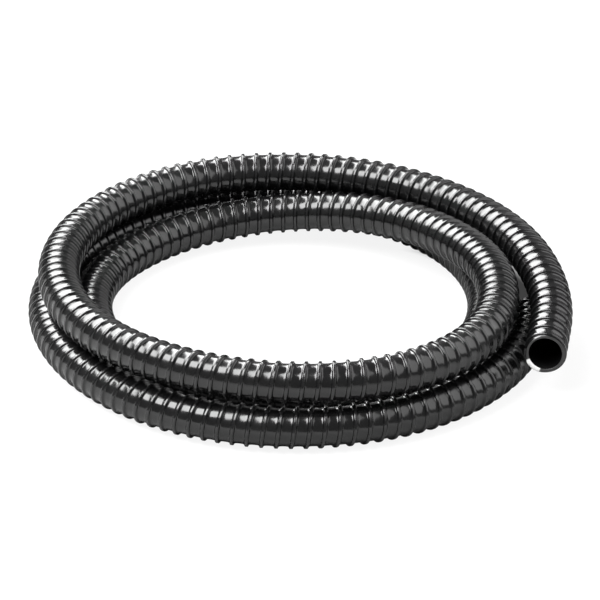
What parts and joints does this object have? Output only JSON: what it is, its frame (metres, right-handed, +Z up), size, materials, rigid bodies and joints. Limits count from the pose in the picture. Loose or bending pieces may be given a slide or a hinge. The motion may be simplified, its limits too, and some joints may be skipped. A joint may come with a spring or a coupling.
{
  "type": "vacuum hose",
  "caption": "Loosely coiled flexible hose with a smooth bore, raised spiral ribs and two plain cut ends.",
  "frame": {"origin": "on the ground, below the middle of the coil's box", "axes": "+Z up; +X towards the side of the coil with the free end, whose mouth points towards -Y"},
  "size_m": [0.6278, 0.6072, 0.0998],
  "materials": {
    "soft_wall": "glossy plasticised PVC, black",
    "rigid_spiral": "glossy rigid PVC, black"
  },
  "bodies": {
    "coil": {"upper_turn_wall_1": "soft_wall", "upper_turn_wall_2": "soft_wall", "upper_turn_wall_3": "soft_wall", "inner_turn_wall_1": "soft_wall", "inner_turn_wall_2": "soft_wall", "inner_turn_wall_3": "soft_wall", "inner_turn_wall_4": "soft_wall", "floor_turn_wall_1": "soft_wall", "floor_turn_wall_2": "soft_wall", "floor_turn_wall_3": "soft_wall", "hidden_end_wall": "soft_wall", "upper_turn_spiral_1": "rigid_spiral", "upper_turn_spiral_2": "rigid_spiral", "upper_turn_spiral_3": "rigid_spiral", "inner_turn_spiral_1": "rigid_spiral", "inner_turn_spiral_2": "rigid_spiral", "inner_turn_spiral_3": "rigid_spiral", "inner_turn_spiral_4": "rigid_spiral", "floor_turn_spiral_1": "rigid_spiral", "floor_turn_spiral_2": "rigid_spiral", "floor_turn_spiral_3": "rigid_spiral", "hidden_end_spiral": "rigid_spiral"},
    "end_root": {"free_end_wall_4": "soft_wall", "free_end_wall_3": "soft_wall", "free_end_spiral_4": "rigid_spiral", "free_end_spiral_3": "rigid_spiral"},
    "end_tip": {"free_end_wall_2": "soft_wall", "free_end_wall_1": "soft_wall", "free_end_spiral_2": "rigid_spiral", "free_end_spiral_1": "rigid_spiral"}
  },
  "joints": [
    {"name": "end_swing", "type": "hinge", "parent": "coil", "child": "end_root", "pos_m": [0.27445, 0.09594, 0.0755], "axis": [-0.0017, 0.0037, 1], "range_deg": [0, 12], "stiffness_Nm_per_rad": 1},
    {"name": "end_lift", "type": "hinge", "parent": "end_root", "child": "end_tip", "pos_m": [0.28786, -0.03927, 0.0935], "axis": [-0.9935, -0.1139, 0], "range_deg": [0, 12], "stiffness_Nm_per_rad": 0.6}
  ]
}
